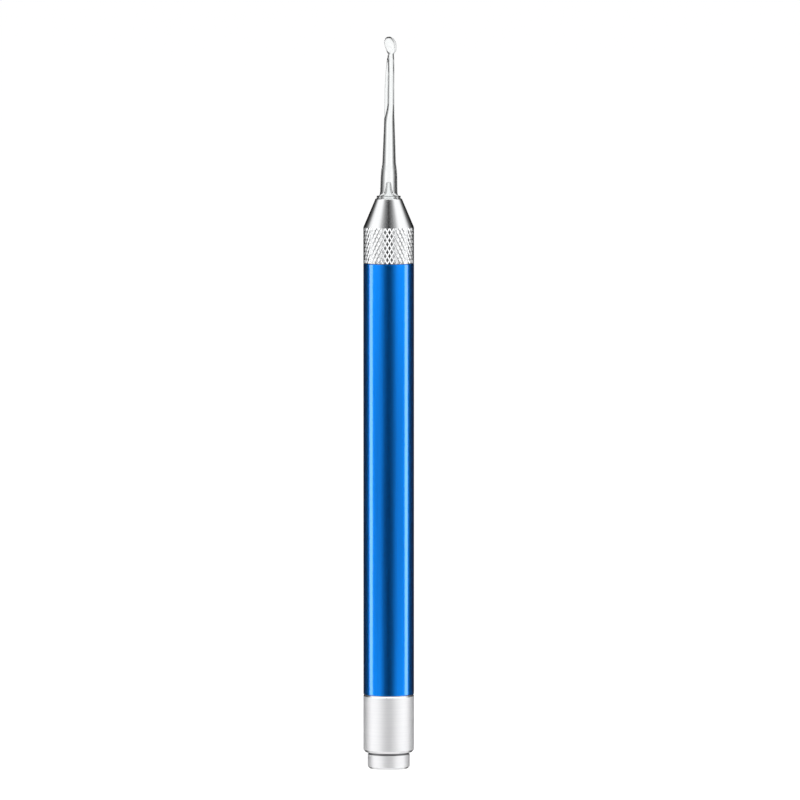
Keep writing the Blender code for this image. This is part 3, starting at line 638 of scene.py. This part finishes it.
def makeButton(b):
    inside, grooved = b["radius"] - b["wall"], b["radius"] - b["grooveDepth"]
    grooveTop, grooveFoot = b["groove"] + b["grooveWidth"] / 2, b["groove"] - b["grooveWidth"] / 2
    outline = softened([
        (0, b["seat"]), (b["bossBore"], b["seat"]), (b["bossBore"], b["bossTop"], usual),
        (b["bossRadius"], b["bossTop"], usual), (b["bossRadius"], b["floor"], soft),
        (inside, b["floor"], b["floorEdge"]), (inside, b["height"], usual),
        (b["radius"], b["height"], b["topEdge"]), (b["radius"], grooveTop, crisp), (grooved, grooveTop, crisp),
        (grooved, grooveFoot, crisp), (b["radius"], grooveFoot, crisp), (b["radius"], b["chamfer"], soft),
        (b["radius"] - b["chamfer"], 0, usual), (0, 0)])
    fitPiece(turnedPiece("tailButton", outline), "satin_aluminium", "button", "tail_button")


tip = {
    # the hollow plug in the nose, and the flange that rests on the nose
    "plugFoot": 107.3, "plug": 1.975, "plugEdge": 0.12, "plugBore": 1.6, "boreEdge": 0.08, "boreTop": 111.9,
    "boreTopEdge": 0.3, "seat": 112.85, "flange": 2.375, "flangeTop": 113.35, "flangeEdge": 0.14,
    # the foot of the shank with its fillet, and half the thickness of the blade, at most a share of the radius
    "shankFoot": 1.9, "fillet": 0.15, "filletTop": 114, "bladeHalf": 0.13, "bladeShare": 0.3,
    # the spoon, its turn and lean in degrees, the bead round its rim and the wall behind its bowl
    "spoonMiddle": (0.33, -0.8, 143.0), "spoonTurn": -38, "spoonLean": 17, "halfWidth": 1.36,
    "halfLength": 1.82, "taper": 0.16, "backDepth": 0.8, "rim": 0.38, "wall": 0.38,
    # heights between which the shank turns into the spoon and the bowl sinks in, and where, in widths of
    # the rim, the hollow takes over from the bead
    "spoonBlend": (140.9, 142.6), "bowlBlend": (141.0, 141.7), "sunk": (0.5, 1.25),
    # points in a ring; rings up the shank, up the spoon and round its end; the first one's height over the
    # flange, the heights where the shank's end and the spoon's start, and the share of the spoon below its end
    "steps": 96, "rings": (150, 60, 24), "firstRing": 0.12, "ringChange": (140.4, 140.5), "endShare": 0.6,
}
# the light cavity over the plug's bore: radius and height, and the last one's corner radius
cavityTable = [(0, 116.15), (0.12, 116.13), (0.23, 116.05), (0.32, 115.92), (0.37, 115.72), (0.39, 115.4),
               (0.42, 115.0), (0.5, 114.5), (0.62, 114.1), (0.82, 113.7), (1.15, 113.3, 0.3)]
# height, radius, sideways drift and forward drift of the shank
shankTable = [(113.35, 1.75, 0, 0), (116.5, 1.66, 0.045, 0), (117.5, 1.64, 0.058, 0), (118.3, 1.56, 0.072, 0),
              (119.6, 1.34, 0.081, 0), (122.4, 1.25, 0.099, 0), (125.4, 1.13, 0.117, 0),
              (129.8, 0.975, 0.135, 0), (134.3, 0.935, 0.162, 0), (138.0, 0.84, 0.27, 0.016),
              (140.2, 0.72, 0.382, 0.064), (141.4, 0.56, 0.45, 0.16), (142.3, 0.4, 0.45, 0.3),
              (143.4, 0.0, 0.45, 0.4), (146, 0.0, 0.45, 0.4)]
# along the upper shank its left side thins to a blade: height, share of the blade, and where the core ends
bladeTable = [(113.0, 0.0, 1.0), (127.0, 0.0, 1.0), (127.6, 1.0, 1.0), (128.4, 1.0, 0.97), (130.9, 1.0, 0.38),
              (134.5, 1.0, 0.36), (138.0, 1.0, 0.45), (140.2, 0.8, 0.65), (141.6, 0.0, 0.9), (145.0, 0.0, 1.0)]


# a table's values at a height, averaged over a short reach, so that the shank has no kinks
def readTable(table, height):
    reach, count = 0.9, 13
    heights, *columns = zip(*table)
    near = height + np.linspace(-reach, reach, count)
    weights = np.hanning(count + 2)[1:-1]
    return [float(np.average(np.interp(near, heights, values), weights=weights)) for values in columns]


def ease(low, high, value):
    share = min(max((value - low) / (high - low), 0), 1)
    return share * share * (3 - 2 * share)


# half thickness of the shank across its width: a round core with a thin blade on its left
def shankDepth(x, radius, blade, coreEnd):
    full = max(radius * radius - x * x, 0) ** 0.5
    coreRadius = radius * (1 + coreEnd) / 2
    fromCore = x - (radius - coreRadius)
    core = max(coreRadius ** 2 - fromCore ** 2, 0) ** 0.5
    thin = min(tip["bladeHalf"], radius * tip["bladeShare"])
    edge = min(max((x + radius) / thin, 0), 1)
    web = thin * (1 - (1 - edge) ** 2) ** 0.5
    thick = (core ** 4 + (web if x < fromCore + radius else 0) ** 4) ** 0.25
    return full * (1 - blade) + min(thick, full) * blade


# how far the spoon's open side stands forward: a round bead follows the edge, and the bowl sinks inside it
def spoonFront(t, x, width, back, oval, along):
    q = max(((x / width * oval) ** 2 + along ** 2) ** 0.5, 0.01)  # 0 in the middle, 1 on the edge
    span = (x * x + (along * t["halfLength"]) ** 2) ** 0.5 / q
    inwards = max(span * (1 - q), 0)
    bead = -max(inwards * (t["rim"] - inwards), 0) ** 0.5
    bowl = back * max(1 - q * q, 0) ** 0.5 - t["wall"]
    sunk = ease(t["sunk"][0] * t["rim"], t["sunk"][1] * t["rim"], inwards)
    return bead * (1 - sunk) + max(bowl, 0) * sunk


# one ring of points round the shank or the spoon
def tipRing(t, height, middle, leaning, reach):
    # how far along the spoon this ring is, from its lower end at -1 to its upper end at 1
    along = min(max((height - middle.z) / reach, -1), 1)
    radius, sideways, forwards = readTable(shankTable, height)
    blade, coreEnd = readTable(bladeTable, height)
    # the shank's width fades out as the spoon's comes in
    oval = max(1 - along ** 2, 0) ** 0.5
    swell = oval * (1 + t["taper"] * along)
    width = (radius ** 3 + (t["halfWidth"] * swell) ** 3) ** (1 / 3)
    back = (radius ** 3 + (t["backDepth"] * swell) ** 3) ** (1 / 3)
    if height < t["filletTop"]:
        width += t["fillet"] * (1 - ease(t["flangeTop"], t["filletTop"], height)) ** 3
        back = width
    inSpoon, inBowl = ease(*t["spoonBlend"], height), ease(*t["bowlBlend"], height)
    shankAt = Vector((sideways, -forwards, height))
    spoonAt = middle + leaning @ Vector((0, 0, (height - middle.z) / reach * t["halfLength"]))
    centre, turn = shankAt.lerp(spoonAt, inSpoon), Quaternion().slerp(leaning, inSpoon)
    ring = []
    for k in range(t["steps"]):
        angle = 2 * pi * k / t["steps"]
        x, side = width * cos(angle), sin(angle)
        y = back * side
        if side < 0:
            y = y * (1 - inBowl) + spoonFront(t, x, width, back, oval, along) * inBowl
        if blade > 0:
            y = y * (1 - blade) + shankDepth(x, width, blade, coreEnd) * (1 if side >= 0 else -1) * blade
        ring.append(tuple(centre + turn @ Vector((x, y, 0))))
    return ring


def makeTip(t):
    outline = softened(cavityTable + [
        (t["plugBore"], t["boreTop"], t["boreTopEdge"]), (t["plugBore"], t["plugFoot"], t["boreEdge"]),
        (t["plug"], t["plugFoot"], t["plugEdge"]), (t["plug"], t["seat"], fine), (t["flange"], t["seat"], soft),
        (t["flange"], t["flangeTop"], t["flangeEdge"]), (t["shankFoot"], t["flangeTop"])], 6)
    rings = [ringAt(r, z, t["steps"]) for r, z in outline]
    middle = Vector(t["spoonMiddle"])
    leaning = (Matrix.Rotation(radians(t["spoonTurn"]), 3, "Z")
               @ Matrix.Rotation(radians(t["spoonLean"]), 3, "X")).to_quaternion()
    topPoint = middle + leaning @ Vector((0, 0, t["halfLength"]))
    reach = topPoint.z - middle.z
    # the rings up the shank, up the spoon, and round its upper end
    shankRings, spoonRings, endRings = t["rings"]
    shankTop, spoonFoot = t["ringChange"]
    heights = [*np.linspace(t["flangeTop"] + t["firstRing"], shankTop, shankRings),
               *np.linspace(spoonFoot, middle.z + t["endShare"] * reach, spoonRings)]
    turns = np.linspace(asin(t["endShare"]), pi / 2, endRings)[1:-1]
    heights += [middle.z + reach * sin(turn) for turn in turns]
    rings += [tipRing(t, height, middle, leaning, reach) for height in heights]
    rings.append([tuple(topPoint)])
    fitPiece(skin("earSpoonTip", rings, False), "clear_acrylic", "tip", "ear_spoon_tip")


# the springs inside: the wide one under the rod, the small one that lifts the button back
springs = {
    "batterySpring": {"Radius": 2.3, "Wire": 0.5, "Foot": 15.55, "Length": 14.4, "Turns": 11.0,
                      "Closed Turns": 1.0},
    "returnSpring": {"Radius": 1.95, "Wire": 0.3, "Foot": 10.15, "Length": 4.05, "Turns": 6.0,
                     "Closed Turns": 1.0},
}


def makeSpring(name, cadNode):
    spring = blankObject(name)
    sizes = {key: value * (1 if "Turns" in key else mm) for key, value in springs[name].items()}
    dress(spring, windSpring, {**sizes, "Material": finishes["spring_steel"]})
    return fitPiece(spring, "spring_steel", "tail", cadNode)


makeBarrel(barrel)
print("barrel made")
makeNose(nose)
makeSealRing("noseSealRing", nose["shoulder"] - nose["grooveWidth"] / 2, "nose_ring", "nose_seal_ring")
print("nose made")
makeTailCap(tail)
makeSealRing("tailSealRing", tail["shoulder"] + nose["grooveWidth"] / 2, "tail_ring", "tail_seal_ring")
makeButton(button)
print("tail made")
makeTip(tip)
print("tip made")
makeSpring("batterySpring", "battery_spring")
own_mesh(makeSpring("returnSpring", "return_spring"))
print("springs made")

# the pieces inside keep their CAD shape and take their real finish
for part in frame["record"]["subparts"]:
    node = frame["nodes"][part["node"]]
    node.data.materials.clear()
    node.data.materials.append(finishes[part["material_slot"]])
print("inner pieces finished")

# The studio is in metres and degrees, and its panels are stops of (degrees or height, brightness).
studio = {
    "drumRadius": 0.5, "drumLow": -1.2, "drumHigh": 1.4, "drumSteps": 96, "brightest": 5.0,
    "floorHeight": -0.0053, "floorHalf": 20.0, "floorGlow": 0.82, "floorGrey": 0.3, "ambient": 0.6,
    "lampWatts": 9.0, "lampSize": 0.8, "lampPlace": (0.9, -0.9, 0.9), "lampAim": (0, 0, 0.07),
    # the level band of strips, the zone next to it and the raised one, in degrees round from the camera
    "bandMiddle": 0.0105, "bandHalf": 0.0605, "bandFade": 0.008, "nearHalf": 0.19, "nearFade": 0.05,
    "level": [(0, 0.02), (20, 0.06), (38, 0.12), (76, 0.12), (80, 3.4), (95, 3.4), (99, 0.04), (180, 0.02)],
    "near": [(0, 0.03), (9, 0.04), (16, 0.2), (25, 0.9), (36, 1.9), (45, 2.5), (70, 2.4), (82, 1.5),
             (92, 0.8), (102, 0.15), (120, 0.02), (180, 0.02)],
    "raised": [(0, 0.04), (22, 0.25), (39, 0.6), (50, 1.05), (60, 1.25), (92, 1.25), (104, 1.0),
               (120, 0.22), (138, 0.03), (180, 0.03)],
    # the height where the light starts, where it is full, and its brightness
    "overhead": (0.75, 0.85, 1.8), "table": (-0.3, -0.4, 0.9),
    # a bar of light over the camera: its share of barPower, by degrees round from the camera
    "bar": [(0, 1.0), (34, 1.0), (70, 0.4), (90, 0.0), (180, 0.0)],
    "barMiddle": 0.34, "barHalf": 0.07, "barFade": 0.03, "barPower": 2.0,
    # degrees off the back of the drum, positive to the right; those at the sides serve views from there
    "opening": [(-36, 0.09), (-27, 0.28), (-20, 0.7), (-16, 1.0), (16, 1.0), (21, 0.62), (27, 0.38), (36, 0.13)],
    "bothSides": [(48, 0.03), (62, 0.03), (72, 0.9), (104, 0.9), (110, 0.15), (119, 0.15), (125, 0.9),
                  (144, 0.9), (150, 0.15), (160, 0.15), (165, 1.0)],
    # heights above or below the pen's foot, up to paleReach
    "pale": [(0, 0), (0.083, 0), (0.1, 0.3), (0.104, 0.32), (0.108, 0.42), (0.111, 0.55), (0.117, 0.3),
             (0.125, 0.05)], "paleReach": 0.2,
}


# panels as the stops of a ramp, whose whole length is full and whose white is the brightest light
def lightStops(panels, full, middle=0):
    return {"stops": [(middle + place / full, light / studio["brightest"]) for place, light in panels]}


# A drum of light panels and black cards round the pen, seen only in reflections and through the clear tip.
# The raised panels light the cone and the satin metal, and the level band gives the tube its two hard lines.
def makeDrum(s):
    steps, radius, brightest = s["drumSteps"], s["drumRadius"] / mm, s["brightest"]
    verts = [(radius * sin(2 * pi * k / steps), -radius * cos(2 * pi * k / steps), z / mm)
             for z in (s["drumLow"], s["drumHigh"]) for k in range(steps)]
    faces = [(k, (k + 1) % steps, steps + (k + 1) % steps, steps + k) for k in range(steps)]
    drum = meshObject("lightDrum", verts, faces)
    look = bpy.data.materials.new("light_drum")
    tree = emptyTree(look)
    place = addNode(tree, "ShaderNodeTexCoord").outputs["Object"]
    x, y, z = addNode(tree, "ShaderNodeSeparateXYZ", inputs=[place]).outputs
    front = addNode(tree, "ShaderNodeMath", "MULTIPLY", [y, -1.0])
    side = addNode(tree, "ShaderNodeMath", "ARCTAN2", [x, front])
    share = addNode(tree, "ShaderNodeMath", "ABSOLUTE", [side])
    share = addNode(tree, "ShaderNodeMath", "DIVIDE", [share, pi])
    panels, near, raised = [addNode(tree, "ShaderNodeValToRGB", lightStops(s[name], 180), [share])
                            for name in ("level", "near", "raised")]
    offBand, offBar = [addNode(tree, "ShaderNodeMath", "ABSOLUTE", [
        addNode(tree, "ShaderNodeMath", "SUBTRACT", [z, s[middle]])])
        for middle in ("bandMiddle", "barMiddle")]
    for zone, edge, fade in ((near, s["bandHalf"], s["bandFade"]), (raised, s["nearHalf"], s["nearFade"])):
        leaving = addNode(tree, "ShaderNodeMapRange", {"interpolation_type": "SMOOTHSTEP"}, {
            "Value": offBand, "From Min": edge, "From Max": edge + fade})
        panels = addNode(tree, "ShaderNodeMix", inputs={0: leaving, 2: panels, 3: zone})
    # a light over the top whitens the upward chamfers, and a pale table under the pen the downward ones
    extras = [addNode(tree, "ShaderNodeMapRange", inputs={
        "Value": z, "From Min": start, "From Max": full, "To Max": light / brightest})
        for start, full, light in (s["overhead"], s["table"])]
    # a bar over the camera whitens the slighter ones and fills the front of the satin metal
    onBar = addNode(tree, "ShaderNodeMapRange", {"interpolation_type": "SMOOTHSTEP"}, {
        "Value": offBar, "From Min": s["barHalf"] + s["barFade"], "From Max": s["barHalf"],
        "To Max": s["barPower"] / brightest})
    along = addNode(tree, "ShaderNodeValToRGB", {"stops": [(d / 180, v) for d, v in s["bar"]]}, [share])
    extras.append(addNode(tree, "ShaderNodeMath", "MULTIPLY", [onBar, along]))
    for extra in extras:
        panels = addNode(tree, "ShaderNodeMath", "MAXIMUM", [panels, extra])
    # rays that have gone through the tip see a white opening behind it
    turned = addNode(tree, "ShaderNodeMath", "ARCTAN2", [x, y])
    turned = addNode(tree, "ShaderNodeMapRange", inputs={"Value": turned, "From Min": -pi, "From Max": pi})
    mirrored = [(-degrees, light) for degrees, light in reversed(s["bothSides"])]
    stops = lightStops(mirrored + s["opening"] + s["bothSides"], 360, 0.5)
    opening = addNode(tree, "ShaderNodeValToRGB", stops, [turned])
    # those that leave it steeply, or high up, see pale cards, so its outlines fade towards the spoon
    offFoot = addNode(tree, "ShaderNodeMath", "ABSOLUTE", [z])
    offFoot = addNode(tree, "ShaderNodeMath", "MULTIPLY", [offFoot, 1 / s["paleReach"]])
    pale = addNode(tree, "ShaderNodeValToRGB", lightStops(s["pale"], s["paleReach"]), [offFoot])
    opening = addNode(tree, "ShaderNodeMath", "MAXIMUM", [opening, pale])
    through = addNode(tree, "ShaderNodeLightPath").outputs["Is Transmission Ray"]
    light = addNode(tree, "ShaderNodeMix", inputs={0: through, 2: panels, 3: opening})
    power = addNode(tree, "ShaderNodeMath", "MULTIPLY", [light, brightest])
    glow = addNode(tree, "ShaderNodeEmission", inputs={"Color": (1, 1, 1, 1), "Strength": power})
    addNode(tree, "ShaderNodeOutputMaterial", inputs=[glow])
    drum.data.materials.append(look)
    drum.visible_camera = drum.visible_diffuse = drum.visible_shadow = False


# 1 for the rays that see plain white paper: from the camera, off metal and through clear plastic
def whiteRays(tree):
    rays = addNode(tree, "ShaderNodeLightPath").outputs
    seen = rays["Is Camera Ray"]
    for kind in ("Is Glossy Ray", "Is Transmission Ray"):
        seen = addNode(tree, "ShaderNodeMath", "MAXIMUM", [seen, rays[kind]])
    return seen


# it lies low enough for the tail cap to be unscrewed; the photo has no shadow to place it by
def makeFloor(s):
    wide = s["floorHalf"] / mm
    corners = ((-1, -1), (1, -1), (1, 1), (-1, 1))
    verts = [(x * wide, y * wide, s["floorHeight"] / mm) for x, y in corners]
    floor = meshObject("floor", verts, [(0, 1, 2, 3)])
    look = bpy.data.materials.new("white_floor")
    tree = emptyTree(look)
    power = addNode(tree, "ShaderNodeMath", "MULTIPLY", [whiteRays(tree), s["floorGlow"]])
    paper = addNode(tree, "ShaderNodeBsdfDiffuse", inputs={"Color": (*[s["floorGrey"]] * 3, 1)})
    glow = addNode(tree, "ShaderNodeEmission", inputs={"Strength": power})
    both = addNode(tree, "ShaderNodeAddShader", inputs=[paper, glow])
    addNode(tree, "ShaderNodeOutputMaterial", inputs=[both])
    floor.data.materials.append(look)
    floor.visible_glossy = floor.visible_transmission = floor.visible_shadow = False


# white paper for those rays, and a softer light for the others
def makeWorld(s):
    world = bpy.data.worlds.new("paleStudio")
    tree = emptyTree(world)
    strength = addNode(tree, "ShaderNodeMapRange", inputs={
        "Value": whiteRays(tree), "To Min": s["ambient"], "To Max": 1.0})
    sky = addNode(tree, "ShaderNodeBackground", inputs={"Color": (1, 1, 1, 1), "Strength": strength})
    addNode(tree, "ShaderNodeOutputWorld", inputs={"Surface": sky})
    scene.world = world


def makeLamp(name, side, s):
    data = bpy.data.lights.new(name, "AREA")
    data.shape, data.size, data.energy = "SQUARE", s["lampSize"], s["lampWatts"]
    lamp = bpy.data.objects.new(name, data)
    x, y, z = s["lampPlace"]
    lamp.location = (x * side, y, z)
    lamp.rotation_euler = (Vector(s["lampAim"]) - lamp.location).to_track_quat("-Z", "Y").to_euler()
    lamp.visible_camera = lamp.visible_glossy = lamp.visible_transmission = False
    scene.collection.objects.link(lamp)


makeDrum(studio)
makeFloor(studio)
makeWorld(studio)
makeLamp("leftSoftbox", -1, studio)
makeLamp("rightSoftbox", 1, studio)
scene.view_settings.view_transform = "Standard"
print("studio lit")

# metres and degrees; the lens and the sensor are in millimetres
view = {"aim": (0.00223, 0.0, 0.073), "distance": 2.0, "elevation": 4.25, "lens": 456.0, "sensor": 36.0}
camera = bpy.data.objects.new("camera", bpy.data.cameras.new("camera"))
rise = radians(view["elevation"])
away = Vector((0, -cos(rise), sin(rise)))
camera.location = Vector(view["aim"]) + away * view["distance"]
camera.rotation_euler = (-away).to_track_quat("-Z", "Y").to_euler()
camera.data.sensor_width, camera.data.lens = view["sensor"], view["lens"]
camera.data.clip_start, camera.data.clip_end = 0.01, 20.0
scene.collection.objects.link(camera)
scene.camera = camera
print("camera set")
